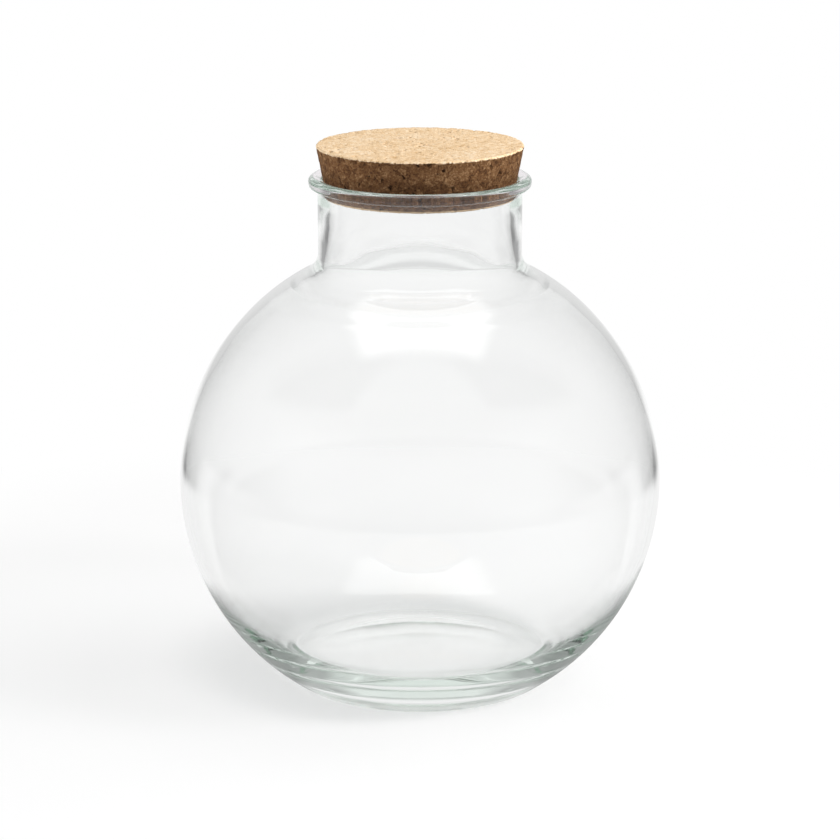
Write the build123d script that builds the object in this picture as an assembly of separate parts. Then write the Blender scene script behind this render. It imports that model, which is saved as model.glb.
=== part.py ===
from build123d import *
from math import cos, radians, sin, sqrt, tan
import os

# Round glass jar with a cork stopper. Millimetres, +Z up.
# The origin is the centre of the base, on the plane that the jar stands on.

# Ball of the jar: one sphere, and how wide it is where it would meet the standing plane
BODY_RADIUS = 115.0
BASE_RADIUS = 63.3
BODY_WALL = 3.0

# Base: heel, ring that the jar stands on, push-up under it, thick floor inside
HEEL_ROUND = 4.0
BEARING_RING_WIDTH = 8.3
PUSH_UP_HEIGHT = 4.0
FLOOR_THICKNESS = 6.5
FLOOR_CORNER_ROUND = 40.0

# Shoulder and neck, whose length runs from the ball to the rim
SHOULDER_ROUND = 11.0
NECK_RADIUS = 48.0
NECK_WALL = 2.8
NECK_LENGTH = 42.5

# Rolled bead round the mouth, and the flat land on top of it
BEAD_THICKNESS = 5.6
MOUTH_ROUND = 4.0
RIM_LAND = 0.3

# Cork stopper, a cone that seats on the rounded edge of the mouth
CORK_TAPER_ANGLE = 11.6
CORK_SEAT_CLEARANCE = 0.15
CORK_ABOVE_RIM = 14.7
CORK_BELOW_RIM = 9.7
CORK_TOP_EDGE = 0.7
CORK_BOTTOM_EDGE = 0.9

# Overrun of every cut past the material it removes
OVERRUN = 1.0

# Places that follow from the sizes above
BODY_CENTRE_HEIGHT = sqrt(BODY_RADIUS**2 - BASE_RADIUS**2)
MOUTH_RADIUS = NECK_RADIUS - NECK_WALL
RIM_HEIGHT = BODY_CENTRE_HEIGHT + sqrt(BODY_RADIUS**2 - NECK_RADIUS**2) + NECK_LENGTH


def nearest_corner(section, radius, height):
    """The corner of a section that lies nearest to a radius and a height."""
    return section.vertices().sort_by_distance(Vector(radius, height))[0]


def flask_section(wall, neck_radius, low, high, low_round, shoulder_round):
    """Half section of the ball and its straight neck, one wall inside the outer skin, flat at the bottom."""
    ball_radius = BODY_RADIUS - wall
    low_radius = sqrt(ball_radius**2 - (BODY_CENTRE_HEIGHT - low) ** 2)
    shoulder_height = BODY_CENTRE_HEIGHT + sqrt(ball_radius**2 - neck_radius**2)
    ball = ThreePointArc((low_radius, low), (ball_radius, BODY_CENTRE_HEIGHT), (neck_radius, shoulder_height))
    neck_and_axis = Polyline(
        (neck_radius, shoulder_height),
        (neck_radius, high),
        (0, high),
        (0, low),
        (low_radius, low),
    )
    section = make_face(ball + neck_and_axis)
    section = fillet(nearest_corner(section, neck_radius, shoulder_height), shoulder_round)
    return fillet(nearest_corner(section, low_radius, low), low_round)


def push_up_section():
    """Half section of the shallow dome that is pushed up into the underside, inside the bearing ring."""
    push_up_radius = BASE_RADIUS - BEARING_RING_WIDTH
    dome = TangentArc((0, PUSH_UP_HEIGHT), (push_up_radius, 0), tangent=(1, 0))
    below = Polyline((push_up_radius, 0), (push_up_radius, -OVERRUN), (0, -OVERRUN), (0, PUSH_UP_HEIGHT))
    return make_face(dome + below)


def bead_section():
    """Section of the rolled bead, from the bore of the mouth to its round outer edge."""
    bead_round = BEAD_THICKNESS / 2
    web_width = MOUTH_ROUND + RIM_LAND
    web = Rectangle(web_width, BEAD_THICKNESS, align=Align.MIN)
    roll = Pos(web_width, bead_round) * Circle(bead_round)
    return Pos(MOUTH_RADIUS, RIM_HEIGHT - BEAD_THICKNESS) * (web + roll)


def glass_jar():
    """The jar: thick base with a push-up, ball, shoulder, neck and rolled bead, as one turned piece of glass."""
    floor_height = PUSH_UP_HEIGHT + FLOOR_THICKNESS
    outside = flask_section(0, NECK_RADIUS, 0, RIM_HEIGHT, HEEL_ROUND, SHOULDER_ROUND)
    inside = flask_section(
        BODY_WALL,
        MOUTH_RADIUS,
        floor_height,
        RIM_HEIGHT + OVERRUN,
        FLOOR_CORNER_ROUND,
        SHOULDER_ROUND + NECK_WALL,
    )
    section = outside - inside - push_up_section() + bead_section()
    section = fillet(nearest_corner(section, MOUTH_RADIUS, RIM_HEIGHT), MOUTH_ROUND)
    return revolve(Plane.XZ * section, Axis.Z)


def cork_radius(height):
    """Radius of the cork's cone at a height, one clearance off the rounded edge of the mouth."""
    taper = radians(CORK_TAPER_ANGLE)
    seat_reach = MOUTH_ROUND + CORK_SEAT_CLEARANCE
    seat_radius = MOUTH_RADIUS + MOUTH_ROUND - seat_reach * cos(taper)
    seat_height = RIM_HEIGHT - MOUTH_ROUND + seat_reach * sin(taper)
    return seat_radius + (height - seat_height) * tan(taper)


def cork_stopper():
    """The stopper: one cone of pressed cork, with its two edges broken."""
    bottom = RIM_HEIGHT - CORK_BELOW_RIM
    top = RIM_HEIGHT + CORK_ABOVE_RIM
    cone = Cone(cork_radius(bottom), cork_radius(top), top - bottom, align=(Align.CENTER, Align.CENTER, Align.MIN))
    cone = Pos(0, 0, bottom) * cone
    cone = chamfer(cone.faces().sort_by(Axis.Z)[0].edges(), CORK_BOTTOM_EDGE)
    return chamfer(cone.faces().sort_by(Axis.Z)[-1].edges(), CORK_TOP_EDGE)


def write_part(name, solid):
    """Write one node's solid to its own file."""
    solid.label = name
    export_step(solid, f"parts/{name}.step")


os.makedirs("parts", exist_ok=True)
write_part("glass_jar", glass_jar())
write_part("cork_stopper", cork_stopper())
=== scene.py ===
import logging
import math
from collections.abc import Sequence
from dataclasses import dataclass, field
from enum import Enum
from typing import Any

import bpy
import numpy as np
from bpy.types import Camera, Light, Material, Mesh, Node, NodeSocket as Socket, NodeTree, Object
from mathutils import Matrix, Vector


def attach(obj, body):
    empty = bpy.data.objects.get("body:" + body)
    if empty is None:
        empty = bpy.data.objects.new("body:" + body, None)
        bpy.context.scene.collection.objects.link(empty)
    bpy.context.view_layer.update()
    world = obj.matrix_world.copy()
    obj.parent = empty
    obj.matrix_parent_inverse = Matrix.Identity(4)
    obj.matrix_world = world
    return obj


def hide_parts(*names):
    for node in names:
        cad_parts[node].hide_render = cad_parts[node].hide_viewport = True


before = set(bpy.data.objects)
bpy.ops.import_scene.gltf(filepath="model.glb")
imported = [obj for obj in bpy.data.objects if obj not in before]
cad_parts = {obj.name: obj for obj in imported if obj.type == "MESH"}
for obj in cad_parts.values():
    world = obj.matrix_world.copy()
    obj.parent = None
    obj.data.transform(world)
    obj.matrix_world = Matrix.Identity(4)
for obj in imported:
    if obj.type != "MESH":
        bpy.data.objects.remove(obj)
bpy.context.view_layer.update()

# A round jar of clear glass with a stopper of pressed cork, on a white studio table.
# Lengths are in metres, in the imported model's frame: +Z up, the origin under the middle of the base.

LOG = logging.getLogger("glass_jar")
WELD_DISTANCE = 0.00001

Colour = tuple[float, float, float]
Place = tuple[float, float, float]
Point = tuple[float, float]
Span = tuple[float, float]


class Piece(Enum):
    """The pieces of the jar, each named as its node in the frame."""

    GLASS_JAR = "glass_jar"
    CORK_STOPPER = "cork_stopper"


class Slot(Enum):
    """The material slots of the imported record."""

    CLEAR_GLASS = "clear_glass"
    PRESSED_CORK = "pressed_cork"


class Body(Enum):
    """The bodies that the pieces ride on."""

    JAR = "jar"
    LID = "lid"


class Wiring:
    """Adds nodes to one node tree and joins their sockets."""

    def __init__(self, tree: NodeTree) -> None:
        """Keep the tree that the nodes go into."""
        self.tree = tree

    def fill(self, socket: Socket, value: Any) -> None:
        """Give an input what it reads.

        Args:
            socket: the input.
            value: the socket that feeds it, or its own value.
        """
        if isinstance(value, Socket):
            self.tree.links.new(value, socket)
        else:
            socket.default_value = value

    def add(self, kind: str, inputs: dict[Any, Any] | None = None, **settings: Any) -> Node:
        """Add one node.

        Args:
            kind: Blender's name of the node's type.
            inputs: what each input reads, by its name or number.
            settings: properties of the node itself.

        Returns:
            The new node.
        """
        node = self.tree.nodes.new(kind)
        for name, value in settings.items():
            setattr(node, name, value)
        for key, value in (inputs or {}).items():
            self.fill(node.inputs[key], value)
        return node

    def first(self, kind: str, inputs: dict[Any, Any] | None = None, **settings: Any) -> Socket:
        """Add one node, as add does, and return its first output."""
        return self.add(kind, inputs, **settings).outputs[0]

    def maths(self, operation: str, *values: Any, clamp: bool = False) -> Socket:
        """Add a Math node.

        Args:
            operation: the sum to do.
            values: one to three sockets or numbers.
            clamp: whether the result stays from 0 to 1.

        Returns:
            The result's socket.
        """
        return self.first("ShaderNodeMath", dict(enumerate(values)), operation=operation, use_clamp=clamp)

    def vector(self, operation: str, *values: Any) -> Socket:
        """Add a Vector Math node.

        Args:
            operation: the sum to do.
            values: one to three sockets or vectors.

        Returns:
            The resulting vector's socket.
        """
        return self.first("ShaderNodeVectorMath", dict(enumerate(values)), operation=operation)

    def scaled(self, vector: Any, factor: Any) -> Socket:
        """Multiply a vector by one number and return the result's socket."""
        return self.first("ShaderNodeVectorMath", {0: vector, "Scale": factor}, operation="SCALE")

    def length(self, vector: Any) -> Socket:
        """Measure a vector and return the result's socket."""
        return self.add("ShaderNodeVectorMath", {0: vector}, operation="LENGTH").outputs["Value"]

    def split(self, vector: Any) -> Sequence[Socket]:
        """Take a vector apart and return the sockets of its three numbers."""
        return self.add("ShaderNodeSeparateXYZ", {0: vector}).outputs

    def remap(self, value: Any, start: Any, end: Any, low: Any = 0.0, high: Any = 1.0) -> Socket:
        """Turn one range of a value smoothly into another.

        Args:
            value: the socket to read.
            start: the value that gives low.
            end: the value that gives high.
            low: the result at start.
            high: the result at end.

        Returns:
            The result's socket.
        """
        inputs = {"Value": value, "From Min": start, "From Max": end, "To Min": low, "To Max": high}
        return self.first("ShaderNodeMapRange", inputs, interpolation_type="SMOOTHSTEP")

    def ramp(self, value: Any, stops: Sequence[tuple[float, Colour]], easing: str = "LINEAR") -> Socket:
        """Run a value through a row of colours.

        Args:
            value: the socket to read.
            stops: the value and the colour of each stop.
            easing: how the colours run from stop to stop.

        Returns:
            The resulting colour's socket.
        """
        node = self.add("ShaderNodeValToRGB", {0: value})
        node.color_ramp.interpolation = easing
        marks = node.color_ramp.elements
        while len(marks) < len(stops):
            marks.new(0.5)
        for mark, (share, colour) in zip(marks, stops):
            mark.position = share
            mark.color = (*colour, 1.0)
        return node.outputs[0]

    def blend(self, factor: Any, first: Any, second: Any, way: str = "MIX") -> Socket:
        """Mix two colours.

        Args:
            factor: how much of the second colour shows.
            first: the colour at factor 0.
            second: the colour at factor 1.
            way: how the second colour acts on the first.

        Returns:
            The mixed colour's socket.
        """
        first, second = (c if isinstance(c, Socket) else (*c, 1.0) for c in (first, second))
        return self._mix("RGBA", {"Factor": factor, "A": first, "B": second}, blend_type=way)

    def pick(self, when: Any, otherwise: Any, chosen: Any) -> Socket:
        """Give one number where a mask is 0 and another where it is 1; return the result's socket."""
        return self._mix("FLOAT", {"Factor": when, "A": otherwise, "B": chosen})

    def _mix(self, kind: str, inputs: dict[str, Any], **settings: Any) -> Socket:
        """Add a Mix node, of whose inputs only those of its own kind of data are filled.

        Args:
            kind: the kind of data.
            inputs: what each input reads, by its name.
            settings: other properties of the node.

        Returns:
            The result's socket.
        """
        node = self.add("ShaderNodeMix", data_type=kind, **settings)
        for name, value in inputs.items():
            self.fill(next(s for s in node.inputs if s.enabled and s.name == name), value)
        return next(s for s in node.outputs if s.enabled)


def new_tree(
    name: str, kind: str, takes: dict[str, str], gives: dict[str, str]
) -> tuple[NodeTree, Wiring, Sequence[Socket]]:
    """Make a node group with its sockets.

    Args:
        name: the group's name.
        kind: the type of the tree.
        takes: the type of each input by its name.
        gives: the type of each output by its name.

    Returns:
        The group, the wiring of its tree, and the sockets of what it takes.
    """
    tree = bpy.data.node_groups.new(name, kind)
    for side, sockets in (("INPUT", takes), ("OUTPUT", gives)):
        for label, data in sockets.items():
            tree.interface.new_socket(name=label, in_out=side, socket_type="NodeSocket" + data)
    net = Wiring(tree)
    return tree, net, net.add("NodeGroupInput").outputs


def emptied(owner: Any) -> Wiring:
    """Clear the nodes of a material, a lamp or a world.

    Args:
        owner: the material, lamp or world.

    Returns:
        The wiring of its empty tree.
    """
    owner.use_nodes = True
    owner.node_tree.nodes.clear()
    return Wiring(owner.node_tree)


def new_object(name: str, data: Mesh | Light | Camera) -> Object:
    """Put a mesh, a lamp or a camera into the scene.

    Args:
        name: the object's name.
        data: what it shows.

    Returns:
        The new object, at the origin.
    """
    made = bpy.data.objects.new(name, data)
    bpy.context.scene.collection.objects.link(made)
    return made


def dress(net: Wiring, geometry: Any, material: Any) -> Socket:
    """End a geometry tree with smooth shading, real instances and the material.

    Args:
        net: the tree.
        geometry: the geometry's socket.
        material: the material's socket.

    Returns:
        The dressed geometry's socket.
    """
    smooth = net.first("GeometryNodeSetShadeSmooth", {"Geometry": geometry})
    real = net.first("GeometryNodeRealizeInstances", {"Geometry": smooth})
    return net.first("GeometryNodeSetMaterial", {"Geometry": real, "Material": material})


def run_tree(source: Object, tree: NodeTree, values: dict[str, Any], name: str) -> Object:
    """Run a geometry tree on an object once, and keep the result as a plain mesh in a new object.

    Args:
        source: the object that the tree starts from, which is then removed.
        tree: the geometry tree.
        values: the tree's inputs by name.
        name: the new object's name.

    Returns:
        The new object, at the origin.
    """
    modifier = source.modifiers.new(tree.name, "NODES")
    modifier.node_group = tree
    for item in tree.interface.items_tree:
        if item.item_type == "SOCKET" and item.in_out == "INPUT" and item.name in values:
            modifier[item.identifier] = values[item.name]
    depsgraph = bpy.context.evaluated_depsgraph_get()
    mesh = bpy.data.meshes.new_from_object(source.evaluated_get(depsgraph), depsgraph=depsgraph)
    source.modifiers.remove(modifier)
    bpy.data.objects.remove(source)
    mesh.name = name
    return new_object(name, mesh)


def carry(piece: Object, which: Piece, body: Body) -> None:
    """Let a finished piece stand for its node.

    Args:
        piece: the finished piece.
        which: the node that it stands for.
        body: the body that it rides on.
    """
    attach(piece, body.value)
    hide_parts(which.value)
    LOG.info("%s: %d faces", piece.name, len(piece.data.polygons))


@dataclass
class TurnedProfile:
    """A half section in radius and height, as one chain of points from the axis back to the axis."""

    step: float
    least_turn: float = math.radians(9.0)
    points: list[Point] = field(default_factory=list)
    ripples: list[float] = field(default_factory=list)

    def line(self, end: Point, ripple: float = 0.0) -> None:
        """Run straight to a point.

        Args:
            end: radius and height of the point.
            ripple: how much the surface may waver there.
        """
        start = self.points[-1]
        count = max(1, math.ceil(math.dist(start, end) / self.step))
        for share in np.linspace(0.0, 1.0, count + 1)[1:]:
            radius, height = (a + (b - a) * share for a, b in zip(start, end))
            self._put((radius, height), ripple)

    def curve(self, knots: Sequence[Point], ripple: float = 0.0, step: float | None = None) -> None:
        """Run smoothly through a row of points.

        Args:
            knots: radius and height of each point, the last of them where the curve ends.
            ripple: how much the surface may waver there.
            step: longest step along the curve, where it isn't the chain's own.
        """
        row = np.array([self.points[-1], *knots])
        row = np.vstack([2 * row[0] - row[1], row, 2 * row[-1] - row[-2]])
        for before, start, end, after in zip(row, row[1:], row[2:], row[3:]):
            pairs = ((before, start), (start, end), (end, after))
            gaps = [max(math.dist(p, q), WELD_DISTANCE) for p, q in pairs]
            runs = [(q - p) / gap for (p, q), gap in zip(pairs, gaps)]
            leave = (runs[0] * gaps[1] + runs[1] * gaps[0]) / (gaps[0] + gaps[1])
            reach = (runs[1] * gaps[2] + runs[2] * gaps[1]) / (gaps[1] + gaps[2])
            count = math.ceil(gaps[1] / (step or self.step))
            for share in np.linspace(0.0, 1.0, count + 1)[1:]:
                rest = 1.0 - share
                point = start * rest**2 * (1 + 2 * share) + end * share**2 * (3 - 2 * share)
                point += (leave * rest - reach * share) * share * rest * gaps[1]
                self._put((float(point[0]), float(point[1])), ripple)

    def arc(
        self, centre: Point, radius: float, start: float, end: float,
        ripple: float = 0.0, flutes: int = 0, flute_depth: float = 0.0,
    ) -> None:
        """Run round an arc.

        Args:
            centre: radius and height of the arc's centre.
            radius: the arc's own radius.
            start: angle that the arc starts at, from the outward level.
            end: angle that the arc ends at.
            ripple: how much the surface may waver there.
            flutes: number of shallow hollows along the arc.
            flute_depth: how deep they are.
        """
        turn = abs(end - start)
        count = max(math.ceil(turn * radius / self.step), math.ceil(turn / self.least_turn))
        for share in np.linspace(0.0, 1.0, count + 1):
            angle = start + (end - start) * share
            reach = radius - flute_depth * math.sin(math.pi * flutes * share) ** 2
            place = (centre[0] + reach * math.cos(angle), centre[1] + reach * math.sin(angle))
            self._put(place, ripple)

    def _put(self, point: Point, ripple: float) -> None:
        """Add a point, unless it lies on the last one.

        Args:
            point: radius and height of the point.
            ripple: how much the surface may waver there.
        """
        if not self.points or math.dist(self.points[-1], point) >= WELD_DISTANCE:
            self.points.append((max(point[0], 0.0), point[1]))
            self.ripples.append(ripple)

    def as_object(self, name: str) -> Object:
        """Make the chain an object.

        Args:
            name: the object's name.

        Returns:
            The object, whose points carry how much they may waver.
        """
        mesh = bpy.data.meshes.new(name)
        edges = [(i, i + 1) for i in range(len(self.points) - 1)]
        mesh.from_pydata([(radius, 0.0, height) for radius, height in self.points], edges, [])
        mesh.attributes.new("ripple", "FLOAT", "POINT").data.foreach_set("value", self.ripples)
        return new_object(name, mesh)


def lathe_tree() -> NodeTree:
    """Build the geometry tree that turns a chain of points about the Z axis, with a faint waver.

    Returns:
        The tree, whose first input is the chain.
    """
    takes = {
        "Profile": "Geometry",
        "Segments": "Int",
        "Waver Size": "Float",
        "Waver Depth": "Float",
        "Seed": "Float",
        "Glass": "Material",
    }
    tree, net, given = new_tree("turned_glass", "GeometryNodeTree", takes, {"Turned": "Geometry"})
    rows = net.first("GeometryNodeAttributeDomainSize", {0: given["Profile"]}, component="MESH")
    columns = net.maths("ADD", given["Segments"], 1.0)
    grid = net.first("GeometryNodeMeshGrid", {"Vertices X": columns, "Vertices Y": rows})
    index = net.first("GeometryNodeInputIndex")
    column = net.maths("FLOOR", net.maths("DIVIDE", net.maths("ADD", index, 0.5), rows))
    row = net.maths("SUBTRACT", index, net.maths("MULTIPLY", column, rows))
    angle = net.maths("DIVIDE", net.maths("MULTIPLY", column, math.tau), given["Segments"])
    position = net.first("GeometryNodeInputPosition")
    weight = net.first("GeometryNodeInputNamedAttribute", {"Name": "ripple"}, data_type="FLOAT")
    chain, ripple = (
        net.first("GeometryNodeSampleIndex", {0: given["Profile"], 1: value, 2: row}, data_type=kind)
        for value, kind in ((position, "FLOAT_VECTOR"), (weight, "FLOAT"))
    )
    parts = net.split(chain)
    across = net.maths("MULTIPLY", parts[0], net.maths("COSINE", angle))
    along = net.maths("MULTIPLY", parts[0], net.maths("SINE", angle))
    place = net.first("ShaderNodeCombineXYZ", {0: across, 1: along, 2: parts[2]})
    turned = net.first("GeometryNodeSetPosition", {"Geometry": grid, "Position": place})
    named = {"Geometry": turned, "Name": "ripple", "Value": ripple}
    stored = net.first("GeometryNodeStoreNamedAttribute", named, data_type="FLOAT")
    welded = net.first("GeometryNodeMergeByDistance", {"Geometry": stored, "Distance": WELD_DISTANCE})
    noise = net.first(
        "ShaderNodeTexNoise",
        {
            "Vector": position,
            "W": given["Seed"],
            "Scale": net.maths("DIVIDE", 1.0, given["Waver Size"]),
            "Detail": 1.0,
        },
        noise_dimensions="4D",
    )
    depth = net.maths("MULTIPLY", net.maths("MULTIPLY", noise, given["Waver Depth"]), weight)
    moved = net.scaled(net.first("GeometryNodeInputNormal"), depth)
    wavered = net.first("GeometryNodeSetPosition", {"Geometry": welded, "Offset": moved})
    net.add("NodeGroupOutput", {"Turned": dress(net, wavered, given["Glass"])})
    return tree


@dataclass(frozen=True)
class ClearGlass:
    """Clear soda glass with a faint grey-green body, whose shadow lets most of the light by."""

    ior: float = 1.5
    roughness: float = 0.0
    clear: Colour = (1.0, 1.0, 1.0)
    faint: Colour = (0.992, 0.994, 0.993)
    # Painted shade: the neck's glass is coloured a little darker grey than the body, for the shade under
    # the stopper
    neck_painted_shade: Colour = (0.966, 0.967, 0.967)
    neck_shade_from: Span = (0.194, 0.212)
    bead_tint: Colour = (0.950, 0.905, 0.930)
    bead_from: Span = (0.235, 0.238)
    body_colour: Colour = (0.50, 0.77, 0.60)
    body_density: float = 1.9
    # Share of light that goes through to the shadow: least at the thick base
    shadow_facing: Colour = (0.985, 0.985, 0.985)
    shadow_edge: Colour = (0.95, 0.95, 0.95)
    shadow_base: Colour = (0.76, 0.77, 0.77)
    edge_blend: float = 0.35
    base_below: Span = (0.010, 0.030)
    base_beyond: Span = (0.048, 0.060)
    streak_size: float = 0.060
    streak_height: float = 0.00002

    def material(self) -> Material:
        """Build the material.

        Returns:
            The glass, with plain metallic, transmission, roughness and index.
        """
        material = bpy.data.materials.new(Slot.CLEAR_GLASS.value)
        net = emptied(material)
        place = net.add("ShaderNodeTexCoord").outputs["Object"]
        height = net.split(place)[2]
        streaks = {"Vector": place, "Scale": 1.0 / self.streak_size, "Detail": 2.0}
        streak = net.first("ShaderNodeTexNoise", streaks)
        tint = net.blend(streak, self.clear, self.faint)
        # painted shade: darker grey glass in the neck
        tint = net.blend(net.remap(height, *self.neck_shade_from), tint, self.neck_painted_shade)
        tint = net.blend(net.remap(height, *self.bead_from), tint, self.bead_tint)
        glass = net.first(
            "ShaderNodeBsdfPrincipled",
            {
                "Base Color": tint,
                "Metallic": 0.0,
                "Roughness": self.roughness,
                "IOR": self.ior,
                "Transmission Weight": 1.0,
                "Normal": net.first("ShaderNodeBump", {"Distance": self.streak_height, "Height": streak}),
            },
        )
        away = net.length(net.vector("MULTIPLY", place, (1.0, 1.0, 0.0)))
        low = net.remap(height, *self.base_below, 1.0, 0.0)
        thick = net.maths("MULTIPLY", low, net.remap(away, *self.base_beyond))
        edge = net.add("ShaderNodeLayerWeight", {"Blend": self.edge_blend}).outputs["Facing"]
        shade = net.blend(edge, self.shadow_facing, self.shadow_edge)
        shade = net.blend(thick, shade, self.shadow_base)
        passing = net.first("ShaderNodeBsdfTransparent", {"Color": shade})
        shadow = net.add("ShaderNodeLightPath").outputs["Is Shadow Ray"]
        surface = net.first("ShaderNodeMixShader", {0: shadow, 1: glass, 2: passing})
        inside = {"Color": (*self.body_colour, 1.0), "Density": self.body_density}
        body = net.first("ShaderNodeVolumeAbsorption", inside)
        net.add("ShaderNodeOutputMaterial", {"Surface": surface, "Volume": body})
        return material


@dataclass
class GlassJar:
    """The jar: thick base with a push-up, round body, shoulder, neck and rolled bead, all turned."""

    body_radius: float = 0.1149
    body_centre: float = 0.0960
    # Wall of the ball: degrees above its centre, and thickness
    walls: tuple[Point, ...] = (
        (52.0, 0.0042), (33.0, 0.0038), (12.0, 0.0028), (-18.0, 0.0023), (-31.0, 0.0024),
        (-39.0, 0.0037), (-48.0, 0.0056), (-60.0, 0.0080),
    )
    wall_blur: float = 4.0
    wall_samples: int = 9
    heel_round: float = 0.0040
    push_up_radius: float = 0.0510
    push_up_height: float = 0.0012
    floor_height: float = 0.0085
    floor_blend: float = 0.0045
    floor_shares: tuple[float, ...] = (0.75, 0.5, 0.25, 0.0)
    shoulder_round: float = 0.0110
    neck_radius: float = 0.0480
    neck_wall: float = 0.0028
    # Bore from the mouth down into the ball: radius and height
    bore: tuple[Point, ...] = (
        (0.0448, 0.2360), (0.0442, 0.2320), (0.0437, 0.2280), (0.0434, 0.2240), (0.0432, 0.2200),
        (0.0432, 0.2160), (0.0434, 0.2115), (0.0439, 0.2070), (0.0449, 0.2024), (0.0464, 0.1985),
        (0.0492, 0.1950), (0.0530, 0.1922), (0.0596, 0.1888),
    )
    rim_height: float = 0.2430
    bead_thickness: float = 0.0056
    bead_root_round: float = 0.0012
    mouth_round: float = 0.0040
    rim_land: float = 0.0003
    flutes: int = 3
    flute_depth: float = 0.00014
    flute_step: float = 0.0002
    segments: int = 240
    step: float = 0.0026
    fine_step: float = 0.0007
    # Waver of blown glass, and how much of it each surface takes along its normal
    waver_size: float = 0.045
    waver_depth: float = 0.0004
    outside_ripple: float = -0.4
    bore_ripple: float = 0.5
    inside_ripple: float = 1.0
    seed: float = 3.0
    finish: ClearGlass = field(default_factory=ClearGlass)

    def profile(self) -> TurnedProfile:
        """Draw the half section, with the glass on its left.

        Returns:
            The chain, up the outside, over the mouth and down to the floor.
        """
        chain = TurnedProfile(step=self.step)
        self._outside(chain)
        self._bead(chain)
        self._inside(chain)
        return chain

    def _outside(self, chain: TurnedProfile) -> None:
        """Add the push-up, the ring that the jar stands on, the heel, the ball, the shoulder and the neck.

        Args:
            chain: the section so far.
        """
        dome = (self.push_up_radius**2 + self.push_up_height**2) / (2 * self.push_up_height)
        lean = math.asin(self.push_up_radius / dome)
        chain.arc((0.0, self.push_up_height - dome), dome, math.pi / 2, math.pi / 2 - lean)
        drop = self.heel_round - self.body_centre
        ring_end = math.sqrt((self.body_radius - self.heel_round) ** 2 - drop**2)
        chain.line((ring_end, 0.0))
        start = math.atan2(drop, ring_end)
        chain.arc((ring_end, self.heel_round), self.heel_round, -math.pi / 2, start)
        centre_radius = self.neck_radius + self.shoulder_round
        rise = math.sqrt((self.body_radius + self.shoulder_round) ** 2 - centre_radius**2)
        end = math.atan2(rise, centre_radius)
        ripple = self.outside_ripple
        chain.arc((0.0, self.body_centre), self.body_radius, start, end, ripple)
        shoulder = (centre_radius, self.body_centre + rise)
        chain.arc(shoulder, self.shoulder_round, math.pi + end, math.pi, ripple)
        neck_end = self.rim_height - self.bead_thickness - self.bead_root_round
        chain.line((self.neck_radius, neck_end), ripple)

    def _bead(self, chain: TurnedProfile) -> None:
        """Add the rolled bead and the rounded mouth.

        Args:
            chain: the section so far.
        """
        bead_round = self.bead_thickness / 2
        mouth_centre = self.neck_radius - self.neck_wall + self.mouth_round
        bead = (mouth_centre + self.rim_land, self.rim_height - bead_round)
        root_height = self.rim_height - self.bead_thickness - self.bead_root_round
        root = (self.neck_radius + self.bead_root_round, root_height)
        mouth = (mouth_centre, self.rim_height - self.mouth_round)
        quarter = math.pi / 2
        chain.step = self.fine_step
        chain.arc(root, self.bead_root_round, math.pi, quarter)
        chain.step = self.flute_step
        chain.arc(bead, bead_round, -quarter, quarter, 0.0, self.flutes, self.flute_depth)
        chain.step = self.fine_step
        chain.arc(mouth, self.mouth_round, quarter, math.pi)
        chain.step = self.step

    def _inside(self, chain: TurnedProfile) -> None:
        """Add the wavy bore, the inside of the ball with its uneven wall, and the dished floor.

        Args:
            chain: the section so far.
        """
        chain.curve(self.bore, self.bore_ripple, self.fine_step)
        first, last = self.walls[0][0], self.walls[-1][0]
        count = math.ceil(math.radians(first - last) * self.body_radius / self.step)
        angles = np.linspace(first, last, count)
        knots = np.array(self.walls[::-1])
        around = np.linspace(-self.wall_blur, self.wall_blur, self.wall_samples)
        spread = np.interp(angles[:, None] + around, knots[:, 0], knots[:, 1])
        for angle, wall in zip(np.radians(angles), spread.mean(axis=1)):
            radius = (self.body_radius - wall) * math.cos(angle)
            height = self.body_centre + (self.body_radius - wall) * math.sin(angle)
            chain.line((radius, self._lifted(height)), self.inside_ripple)
        radius, height = chain.points[-1]
        rise = height - self.floor_height
        floor = [(radius * share, self.floor_height + rise * share**3) for share in self.floor_shares]
        chain.curve(floor, self.inside_ripple)

    def _lifted(self, height: float) -> float:
        """Lift a height smoothly off the floor and return it."""
        above = height - self.floor_height
        return self.floor_height + (above + math.hypot(above, self.floor_blend)) / 2

    def build(self) -> Object:
        """Turn the profile, dress it and let it stand for its node.

        Returns:
            The finished jar.
        """
        values = {
            "Segments": self.segments,
            "Waver Size": self.waver_size,
            "Waver Depth": self.waver_depth,
            "Seed": self.seed,
            "Glass": self.finish.material(),
        }
        jar = run_tree(self.profile().as_object("jar_profile"), lathe_tree(), values, "jar_glass")
        carry(jar, Piece.GLASS_JAR, Body.JAR)
        return jar


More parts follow.
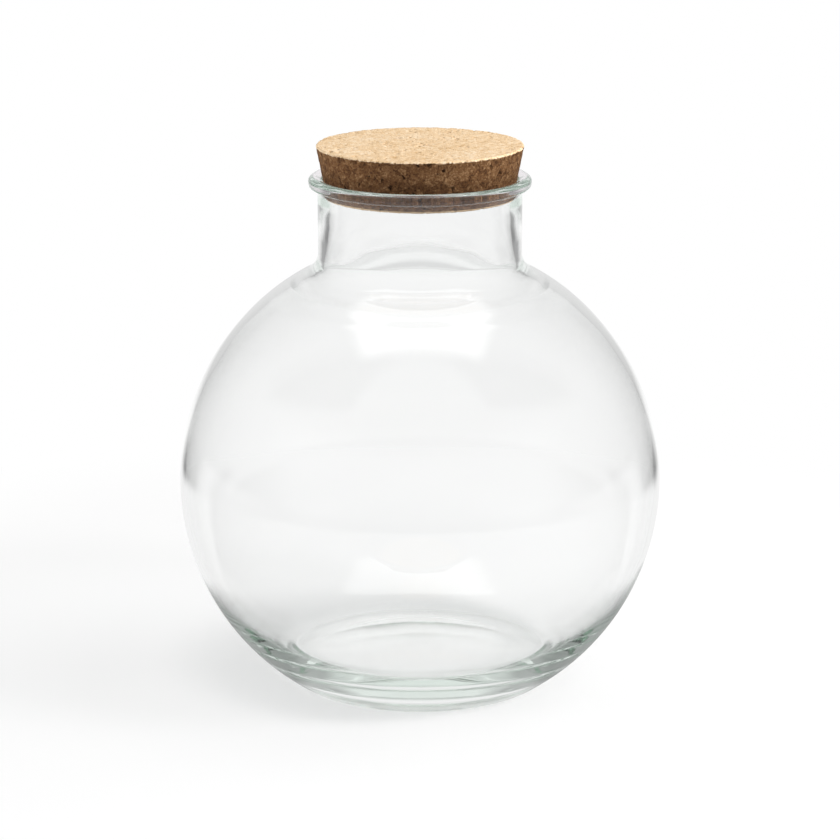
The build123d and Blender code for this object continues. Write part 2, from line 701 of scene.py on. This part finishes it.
@dataclass(frozen=True)
class CorkGrain:
    """The granules of pressed cork: one rule that both the shape and the colour follow."""

    chip_size: float = 0.0020
    crumb_size: float = 0.0008
    warp_size: float = 0.0024
    warp_reach: float = 0.0011
    pit_share: float = 0.05
    pit_heart: Span = (0.04, 0.22)
    groove_share: float = 0.07

    def lay(self, net: Wiring, place: Any) -> dict[str, Socket]:
        """Add the rule's nodes to a shader or a geometry tree.

        Args:
            net: the tree.
            place: the point to read the rule at.

        Returns:
            Sockets by name: tone, level and crumb are random numbers of the granules, the rest are masks.
        """
        warps = {"Vector": place, "Scale": 1.0 / self.warp_size, "Detail": 2.0}
        warp = net.add("ShaderNodeTexNoise", warps).outputs[1]
        centred = net.vector("SUBTRACT", warp, (0.5, 0.5, 0.5))
        bent = net.vector("ADD", place, net.scaled(centred, self.warp_reach))
        chips = {"Vector": bent, "Scale": 1.0 / self.chip_size}
        crumbs = {"Vector": bent, "Scale": 1.0 / self.crumb_size}
        chip = net.split(net.add("ShaderNodeTexVoronoi", chips).outputs["Color"])
        crumb = net.split(net.add("ShaderNodeTexVoronoi", crumbs).outputs["Color"])
        edge = net.add("ShaderNodeTexVoronoi", chips, feature="DISTANCE_TO_EDGE").outputs["Distance"]
        chosen = net.maths("LESS_THAN", chip[1], self.pit_share)
        return {
            "tone": chip[0],
            "level": chip[2],
            "crumb": crumb[0],
            "groove": net.remap(edge, self.groove_share, 0.0),
            "pit": net.maths("MULTIPLY", chosen, net.remap(edge, *self.pit_heart)),
        }


@dataclass(frozen=True)
class PressedCork:
    """Pressed cork: a pale sanded top and bottom, and a dark moulded side."""

    grain: CorkGrain = field(default_factory=CorkGrain)
    pale: tuple[Colour, ...] = (
        (0.66, 0.42, 0.205), (0.87, 0.62, 0.365), (0.95, 0.71, 0.455), (0.99, 0.82, 0.61),
    )
    dark: tuple[Colour, ...] = (
        (0.050, 0.022, 0.009), (0.130, 0.060, 0.025), (0.195, 0.098, 0.042), (0.34, 0.200, 0.100),
    )
    pale_pit: Colour = (0.42, 0.22, 0.09)
    dark_pit: Colour = (0.022, 0.009, 0.004)
    colours_over: Span = (0.1, 0.9)
    # Shade that picks the colour: its least value, and the weights of granules, grit and clouds
    least_shade: float = 0.10
    granule_weight: float = 0.40
    grit_weight: float = 0.9
    cloud_weight: float = 0.5
    grit_scale: float = 1600.0
    cloud_scale: float = 45.0
    # Painted shadow: the side's colour is darkened in a band where it dips into the mouth
    painted_shade_height: float = 0.2440
    painted_shade_reach: Span = (0.001, 0.007)
    rim_painted_shade: float = 0.78
    sanded_depth: float = 0.0009
    ragged_depth: float = 0.0005
    groove_sink: float = 0.35
    hollow_tint: float = 0.85
    hollow_relief: float = 0.8
    bump_strength: float = 0.6
    bump_depth: float = 0.0003
    roughness: Span = (0.72, 0.95)
    specular: float = 0.15

    def grain_group(self) -> NodeTree:
        """Build the shader group that puts out the granules' masks.

        Returns:
            The group, whose input is the place on the cork.
        """
        gives = dict.fromkeys(("tone", "level", "crumb", "groove", "pit"), "Float")
        tree, net, given = new_tree("cork_granules", "ShaderNodeTree", {"Place": "Vector"}, gives)
        net.add("NodeGroupOutput", self.grain.lay(net, given["Place"]))
        return tree

    def material(self, low: float, high: float) -> Material:
        """Build the material.

        Args:
            low: height of the stopper's bottom.
            high: height of its top.

        Returns:
            The cork.
        """
        material = bpy.data.materials.new(Slot.PRESSED_CORK.value)
        net = emptied(material)
        place = net.add("ShaderNodeTexCoord").outputs["Object"]
        height = net.split(place)[2]
        masks = net.add("ShaderNodeGroup", {"Place": place}, node_tree=self.grain_group()).outputs
        grit, cloud = (
            net.first("ShaderNodeTexNoise", {"Vector": place, "Scale": scale, "Detail": detail})
            for scale, detail in ((self.grit_scale, 3.0), (self.cloud_scale, 2.0))
        )
        lowered = net.maths("SUBTRACT", height, self.ragged_depth)
        ragged = net.maths("MULTIPLY_ADD", masks["crumb"], self.ragged_depth, lowered)
        dark_edge = self.sanded_depth + self.ragged_depth
        top = net.remap(ragged, high - dark_edge, high - self.sanded_depth)
        bottom = net.remap(height, low + dark_edge, low + self.sanded_depth)
        sanded = net.maths("MAXIMUM", top, bottom)
        shade = net.maths("MULTIPLY_ADD", masks["tone"], self.granule_weight, self.least_shade)
        shade = net.maths("MULTIPLY_ADD", masks["crumb"], self.granule_weight, shade)
        for noise, weight in ((grit, self.grit_weight), (cloud, self.cloud_weight)):
            shade = net.maths("ADD", shade, net.maths("MULTIPLY_ADD", noise, weight, -weight / 2))
        shares = np.linspace(*self.colours_over, len(self.pale)).tolist()
        pale, dark = (net.ramp(shade, list(zip(shares, row))) for row in (self.pale, self.dark))
        # Painted shade: the dark side is multiplied darker near the rim, where it dips into the mouth
        off_rim = net.maths("ABSOLUTE", net.maths("SUBTRACT", height, self.painted_shade_height))
        lit = net.remap(off_rim, *self.painted_shade_reach, self.rim_painted_shade, 1.0)
        lit = net.first("ShaderNodeCombineXYZ", {0: lit, 1: lit, 2: lit})
        colour = net.blend(sanded, net.blend(1.0, dark, lit, "MULTIPLY"), pale)
        groove = net.maths("MULTIPLY", masks["groove"], self.groove_sink)
        sunk = net.maths("MAXIMUM", masks["pit"], groove)
        hollow = net.blend(sanded, self.dark_pit, self.pale_pit)
        colour = net.blend(net.maths("MULTIPLY", sunk, self.hollow_tint), colour, hollow)
        relief = net.maths("SUBTRACT", grit, net.maths("MULTIPLY", sunk, self.hollow_relief))
        raised = {"Strength": self.bump_strength, "Distance": self.bump_depth, "Height": relief}
        cork = net.first(
            "ShaderNodeBsdfPrincipled",
            {
                "Base Color": colour,
                "Roughness": net.remap(masks["crumb"], 0.0, 1.0, *self.roughness),
                "Normal": net.first("ShaderNodeBump", raised),
                "Specular IOR Level": self.specular,
            },
        )
        net.add("ShaderNodeOutputMaterial", {"Surface": cork})
        return material


def granule_tree(grain: CorkGrain) -> NodeTree:
    """Build the geometry tree that presses the granules into the skin of the stopper.

    Args:
        grain: the rule that the granules follow.

    Returns:
        The tree, whose first input is the smooth stopper.
    """
    depths = dict.fromkeys(("Groove Depth", "Pit Depth", "Level Depth"), "Float")
    takes = {"Stopper": "Geometry", **depths, "Cork": "Material"}
    tree, net, given = new_tree("pressed_granules", "GeometryNodeTree", takes, {"Pressed": "Geometry"})
    masks = grain.lay(net, net.first("GeometryNodeInputPosition"))
    depth = net.maths("MULTIPLY", masks["groove"], given["Groove Depth"])
    depth = net.maths("MULTIPLY_ADD", masks["pit"], given["Pit Depth"], depth)
    depth = net.maths("MULTIPLY_ADD", masks["level"], given["Level Depth"], depth)
    inward = net.scaled(net.first("GeometryNodeInputNormal"), net.maths("MULTIPLY", depth, -1.0))
    pressed = net.first("GeometryNodeSetPosition", {"Geometry": given["Stopper"], "Offset": inward})
    net.add("NodeGroupOutput", {"Pressed": dress(net, pressed, given["Cork"])})
    return tree


@dataclass
class CorkStopper:
    """The stopper: a cone of pressed cork that sits in the mouth."""

    low: float = 0.2333
    high: float = 0.2577
    low_radius: float = 0.0438
    high_radius: float = 0.04865
    edge_break: float = 0.0007
    cells: int = 160
    side_rows: int = 52
    groove_depth: float = 0.00022
    pit_depth: float = 0.0009
    level_depth: float = 0.00018
    finish: PressedCork = field(default_factory=PressedCork)

    def blank(self) -> Object:
        """Make the smooth stopper, with faces of about the same size all over.

        Returns:
            The stopper before the granules are pressed in.
        """
        around = 4 * self.cells
        angles = (np.arange(around) / around) * math.tau
        rings = self._side_rings()
        points = [np.c_[r * np.cos(angles), r * np.sin(angles), np.full(around, z)] for r, z in rings]
        faces = []
        for row in range(len(rings) - 1):
            under, over = row * around, (row + 1) * around
            for column in range(around):
                ahead = (column + 1) % around
                faces.append((under + column, under + ahead, over + ahead, over + column))
        for ring, upward in ((0, False), (len(rings) - 1, True)):
            start = sum(len(p) for p in points)
            disc, cells = self._disc(*rings[ring], start, ring * around)
            points.append(disc)
            faces += cells if upward else [cell[::-1] for cell in cells]
        mesh = bpy.data.meshes.new("cork_blank")
        mesh.from_pydata(np.concatenate(points).tolist(), [], faces)
        mesh.validate()
        return new_object("cork_blank", mesh)

    def _side_rings(self) -> list[Point]:
        """List the rings of the side from the bottom to the top.

        Returns:
            Radius and height of each ring.
        """
        lean = (self.high_radius - self.low_radius) / (self.high - self.low)
        heights = np.linspace(self.low + self.edge_break, self.high - self.edge_break, self.side_rows)
        rings = [(self.low_radius - self.edge_break, self.low)]
        rings += [(self.low_radius + (z - self.low) * lean, float(z)) for z in heights]
        rings.append((self.high_radius - self.edge_break, self.high))
        return rings

    def _disc(
        self, radius: float, height: float, start: int, rim: int
    ) -> tuple[np.ndarray, list[tuple[int, ...]]]:
        """Fill a ring with square cells bent to the round.

        Args:
            radius: radius of the ring.
            height: its height.
            start: number of the first new point.
            rim: number of the ring's first point, which lies on the X axis.

        Returns:
            The new points, and the cells, which turn to +Z.
        """
        count = self.cells
        ticks = np.linspace(-1.0, 1.0, count + 1)
        number = np.zeros((count + 1, count + 1), int)
        new = []
        for i, u in enumerate(ticks):
            for j, v in enumerate(ticks):
                reach = max(abs(u), abs(v))
                if reach == 0.0:
                    turn = 0.0
                elif abs(u) >= abs(v):
                    turn = math.pi / 4 * v / u + (math.pi if u < 0 else 0.0)
                else:
                    turn = math.pi / 2 - math.pi / 4 * u / v + (math.pi if v < 0 else 0.0)
                if i in (0, count) or j in (0, count):
                    number[i, j] = rim + round(turn / math.tau * 4 * count) % (4 * count)
                else:
                    number[i, j] = start + len(new)
                    out = radius * reach
                    new.append((out * math.cos(turn), out * math.sin(turn), height))
        cells = [
            tuple(int(number[i + a, j + b]) for a, b in ((0, 0), (1, 0), (1, 1), (0, 1)))
            for i in range(count)
            for j in range(count)
        ]
        return np.array(new), cells

    def build(self) -> Object:
        """Press the granules in, dress the stopper and let it stand for its node.

        Returns:
            The finished stopper.
        """
        values = {
            "Groove Depth": self.groove_depth,
            "Pit Depth": self.pit_depth,
            "Level Depth": self.level_depth,
            "Cork": self.finish.material(self.low, self.high),
        }
        cork = run_tree(self.blank(), granule_tree(self.finish.grain), values, "stopper_cork")
        carry(cork, Piece.CORK_STOPPER, Body.LID)
        return cork


@dataclass(frozen=True)
class Softbox:
    """One rectangular lamp: it shows in the glass and lights nothing, or the other way round."""

    name: str
    place: Place
    target: Place
    width: float
    depth: float
    radiance: float
    feather: float = 0.0
    mirrored_only: bool = False

    def build(self) -> None:
        """Hang the lamp and aim it."""
        data = bpy.data.lights.new(self.name, "AREA")
        data.shape = "RECTANGLE"
        data.size = self.width
        data.size_y = self.depth
        data.energy = self.radiance * math.pi * self.width * self.depth
        lamp = new_object(self.name, data)
        lamp.location = self.place
        aim = Vector(self.target) - Vector(self.place)
        lamp.rotation_euler = aim.to_track_quat("-Z", "Y").to_euler()
        lamp.visible_camera = False
        lamp.visible_transmission = self.mirrored_only
        lamp.visible_glossy = self.mirrored_only
        lamp.visible_diffuse = not self.mirrored_only
        if self.feather:
            self._fade(data)

    def _fade(self, data: Light) -> None:
        """Let the light fade towards the edges of the lamp.

        Args:
            data: the lamp's own data.
        """
        net = emptied(data)
        across = net.split(net.add("ShaderNodeNewGeometry").outputs["Parametric"])
        strength = 1.0
        for share in across[:2]:
            inward = net.maths("MINIMUM", share, net.maths("SUBTRACT", 1.0, share))
            strength = net.maths("MULTIPLY", strength, net.remap(inward, 0.0, self.feather))
        light = net.first("ShaderNodeEmission", {"Strength": strength})
        net.add("ShaderNodeOutputLight", {"Surface": light})


@dataclass
class Studio:
    """White table and surroundings, soft lamps, and the camera where the photograph was taken."""

    camera_elevation: float = math.radians(15.5)
    camera_distance: float = 1.2912
    target_height: float = 0.12446
    focal_length: float = 115.71
    sensor: float = 36.0
    bounces: int = 96
    # Table as the camera sees it: paper and a glow near the jar, plain white from there on
    table_radius: float = 12.0
    table_drop: float = 0.0001
    table_albedo: float = 0.72
    table_glow: float = 0.262
    white_beyond: Span = (0.24, 0.42)
    # Table as glass mirrors it: before and behind the jar, beside it, round that, far away
    lit_near: float = 0.90
    lit_beside: float = 0.40
    beside_blend: float = 0.03
    lit_until: Span = (0.120, 0.170)
    table_mirrored: float = 0.90
    dim_beyond: Span = (0.53, 0.63)
    dim_centre: Place = (0.0, -0.17, 0.0)
    above_beyond: Span = (0.90, 2.20)
    # Surroundings as glass mirrors them: cosine from straight behind the jar, and level
    around: tuple[Point, ...] = (
        (-0.5, 0.52), (0.0, 0.85), (0.40, 0.80), (0.60, 0.25), (0.77, 0.25), (0.83, 0.60), (0.88, 1.0),
    )
    above: tuple[Point, ...] = (
        (-0.5, 0.68), (0.0, 0.40), (0.30, 0.36), (0.64, 0.33), (0.85, 0.40), (0.925, 0.66), (0.978, 0.76),
    )
    ceiling: float = 0.27
    ceiling_from: Span = (0.36, 0.66)
    # Sight that glass bends forward and up, which meets the ceiling too
    bent_forward: Span = (0.35, 0.0)
    bent_up: Span = (0.10, 0.25)
    # Light of the surroundings themselves, from front to back
    ambient: Span = (0.22, 0.52)
    ambient_from: Span = (-0.6, 0.4)
    lamps: tuple[Softbox, ...] = (
        Softbox("softbox_mirrored", (0.02, 0.10, 1.40), (0.02, 0.10, 0.0), 1.36, 0.94, 1.75, 0.16, True),
        Softbox("softbox_above", (1.20, 0.00, 2.20), (0.0, 0.0, 0.1), 0.85, 0.85, 4.2),
        Softbox("softbox_right", (2.17, -0.87, 1.56), (0.0, 0.0, 0.08), 0.62, 0.62, 58.0),
        Softbox("softbox_left", (-2.25, -0.50, 0.28), (0.0, 0.0, 0.24), 0.60, 0.60, 29.0),
    )

    def build(self) -> None:
        """Set the table, the world, the lamps and the camera."""
        surroundings = self._surroundings()
        self._table(surroundings)
        self._world(surroundings)
        for lamp in self.lamps:
            lamp.build()
        self._camera()
        # Long paths of light, so that the thick base doesn't go black
        for kind in ("max_bounces", "glossy_bounces", "transmission_bounces"):
            setattr(bpy.context.scene.cycles, kind, self.bounces)
        bpy.context.scene.view_settings.view_transform = "Standard"

    @staticmethod
    def _sight(net: Wiring) -> tuple[Socket, Socket]:
        """Tell plain sight from mirrored sight.

        Args:
            net: the tree that asks.

        Returns:
            Masks: one for what the camera sees, also through glass, and one for what glass mirrors to it.
        """
        path = net.add("ShaderNodeLightPath").outputs
        lit = net.maths("GREATER_THAN", path["Diffuse Depth"], 0.5)
        turned = net.maths("GREATER_THAN", path["Glossy Depth"], 0.5)
        plain = net.maths("SUBTRACT", net.maths("SUBTRACT", 1.0, lit), turned, clamp=True)
        seen = net.maths("MAXIMUM", path["Is Camera Ray"], path["Is Transmission Ray"])
        mirrored = net.maths("SUBTRACT", turned, lit, clamp=True)
        return net.maths("MULTIPLY", seen, plain), mirrored

    def _surroundings(self) -> NodeTree:
        """Build the group that says how bright the studio is, as glass mirrors it, in one direction.

        Returns:
            The group. Raised goes from 0, the levels round the table, to 1, the levels above it.
        """
        takes = {"Direction": "Vector", "Raised": "Float"}
        tree, net, inputs = new_tree("studio_surroundings", "ShaderNodeTree", takes, {"Level": "Float"})
        given = net.vector("NORMALIZE", inputs["Direction"])
        flat = net.vector("NORMALIZE", net.vector("MULTIPLY", given, (1.0, 1.0, 0.0)))
        share = net.maths("MULTIPLY_ADD", net.split(flat)[1], 0.5, 0.5)
        around, above = (
            net.ramp(share, [((cosine + 1.0) / 2, (level,) * 3) for cosine, level in levels], "EASE")
            for levels in (self.around, self.above)
        )
        level = net.pick(inputs["Raised"], around, above)
        overhead = net.remap(net.split(given)[2], *self.ceiling_from)
        net.add("NodeGroupOutput", {"Level": net.pick(overhead, level, self.ceiling)})
        return tree

    def _table(self, surroundings: NodeTree) -> None:
        """Lay the white table, which shows white but keeps the shadow.

        Args:
            surroundings: the group that gives the level of what glass mirrors from far away.
        """
        mesh = bpy.data.meshes.new("table")
        reach, level = self.table_radius, -self.table_drop
        corners = [(x * reach, y * reach, level) for x, y in ((-1, -1), (1, -1), (1, 1), (-1, 1))]
        mesh.from_pydata(corners, [], [(0, 1, 2, 3)])
        table = new_object("table", mesh)
        material = bpy.data.materials.new("table_white")
        net = emptied(material)
        seen, mirrored = self._sight(net)
        place = net.add("ShaderNodeTexCoord").outputs["Object"]
        away = net.length(place)
        seen_far = net.maths("MULTIPLY", seen, net.remap(away, *self.white_beyond))
        unlit = net.maths("MAXIMUM", seen_far, mirrored)
        colour = net.blend(unlit, (self.table_albedo,) * 3, (0.0, 0.0, 0.0))
        paper = net.first("ShaderNodeBsdfDiffuse", {"Color": colour})
        outward = net.vector("MULTIPLY", place, (1.0, 1.0, 0.0))
        given = {"Direction": outward, "Raised": net.remap(away, *self.above_beyond)}
        far = net.first("ShaderNodeGroup", given, node_tree=surroundings)
        across, along = (net.maths("ABSOLUTE", part) for part in net.split(place)[:2])
        beside = net.remap(net.maths("SUBTRACT", across, along), 0.0, self.beside_blend)
        near = net.pick(beside, self.lit_near, self.lit_beside)
        level = net.pick(net.remap(away, *self.lit_until), near, self.table_mirrored)
        off_centre = net.length(net.vector("SUBTRACT", place, self.dim_centre))
        level = net.pick(net.remap(off_centre, *self.dim_beyond), level, far)
        shown = net.maths("MULTIPLY", net.pick(seen_far, self.table_glow, 1.0), seen)
        strength = net.maths("MULTIPLY_ADD", mirrored, level, shown)
        glow = net.first("ShaderNodeEmission", {"Strength": strength})
        both = net.first("ShaderNodeAddShader", {0: paper, 1: glow})
        net.add("ShaderNodeOutputMaterial", {"Surface": both})
        mesh.materials.append(material)

    def _world(self, surroundings: NodeTree) -> None:
        """Make the surroundings white to the camera and through glass, and grey for light.

        Args:
            surroundings: the group that gives their level as glass mirrors them.
        """
        world = bpy.data.worlds.new("studio")
        bpy.context.scene.world = world
        world.cycles.sampling_method = "NONE"
        net = emptied(world)
        seen, mirrored = self._sight(net)
        direction = net.add("ShaderNodeTexCoord").outputs["Generated"]
        _, backward, upward = net.split(direction)
        given = {"Direction": direction, "Raised": 1.0}
        far = net.first("ShaderNodeGroup", given, node_tree=surroundings)
        ambient = net.remap(backward, *self.ambient_from, *self.ambient)
        unseen = net.pick(mirrored, ambient, far)
        forward = net.remap(backward, *self.bent_forward)
        forward = net.maths("MULTIPLY", forward, net.remap(upward, *self.bent_up))
        bent = net.maths("MAXIMUM", net.remap(upward, *self.ceiling_from), forward)
        through = net.add("ShaderNodeLightPath").outputs["Is Transmission Ray"]
        shown = net.pick(net.maths("MULTIPLY", bent, through), 1.0, self.ceiling)
        strength = net.pick(seen, unseen, shown)
        sky = net.first("ShaderNodeBackground", {"Color": (1.0, 1.0, 1.0, 1.0), "Strength": strength})
        net.add("ShaderNodeOutputWorld", {"Surface": sky})

    def _camera(self) -> None:
        """Put the camera where the photograph was taken."""
        data = bpy.data.cameras.new("camera")
        data.lens = self.focal_length
        data.sensor_width = self.sensor
        camera = new_object("camera", data)
        back = Vector((0.0, -math.cos(self.camera_elevation), math.sin(self.camera_elevation)))
        camera.location = Vector((0.0, 0.0, self.target_height)) + back * self.camera_distance
        camera.rotation_euler = (-back).to_track_quat("-Z", "Y").to_euler()
        bpy.context.scene.camera = camera


def main() -> None:
    """Build the studio, the jar and the stopper."""
    logging.basicConfig(level=logging.INFO, format="%(message)s")
    for name, part in (("studio", Studio()), ("glass jar", GlassJar()), ("cork stopper", CorkStopper())):
        part.build()
        LOG.info("built the %s", name)


if __name__ == "__main__":
    main()
